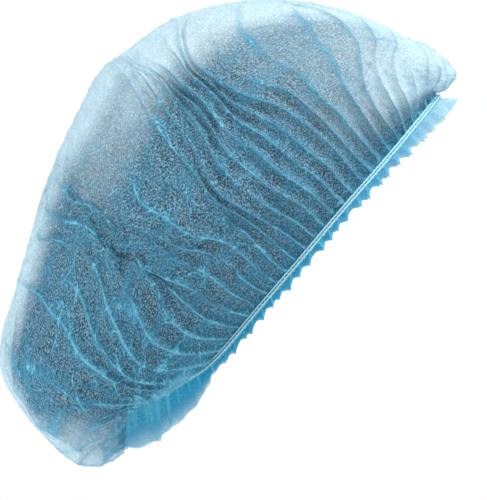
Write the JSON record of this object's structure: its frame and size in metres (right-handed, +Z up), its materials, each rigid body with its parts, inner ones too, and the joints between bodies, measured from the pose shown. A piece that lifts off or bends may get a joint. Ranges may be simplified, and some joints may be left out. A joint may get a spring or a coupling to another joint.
{
  "type": "disposable hairnet",
  "caption": "Sky-blue nonwoven disposable hairnet in its worn form, with a gathered crown, a hair pouch at the nape, two elastic threads and a toothed ruffle.",
  "frame": {"origin": "centre of the head opening, inside the elastic loop", "axes": "+X forwards over the wearer's face, +Y to the wearer's left, +Z up as worn"},
  "size_m": [0.2764, 0.2016, 0.2801],
  "materials": {
    "nonwoven": "matt spunbond nonwoven",
    "folded_nonwoven": "matt, folded double",
    "elastic": "satin thread"
  },
  "bodies": {
    "root": {"crown": "nonwoven", "hem_band": "folded_nonwoven", "elastic_upper": "elastic", "elastic_lower": "elastic", "ruffle": "nonwoven"}
  },
  "joints": []
}
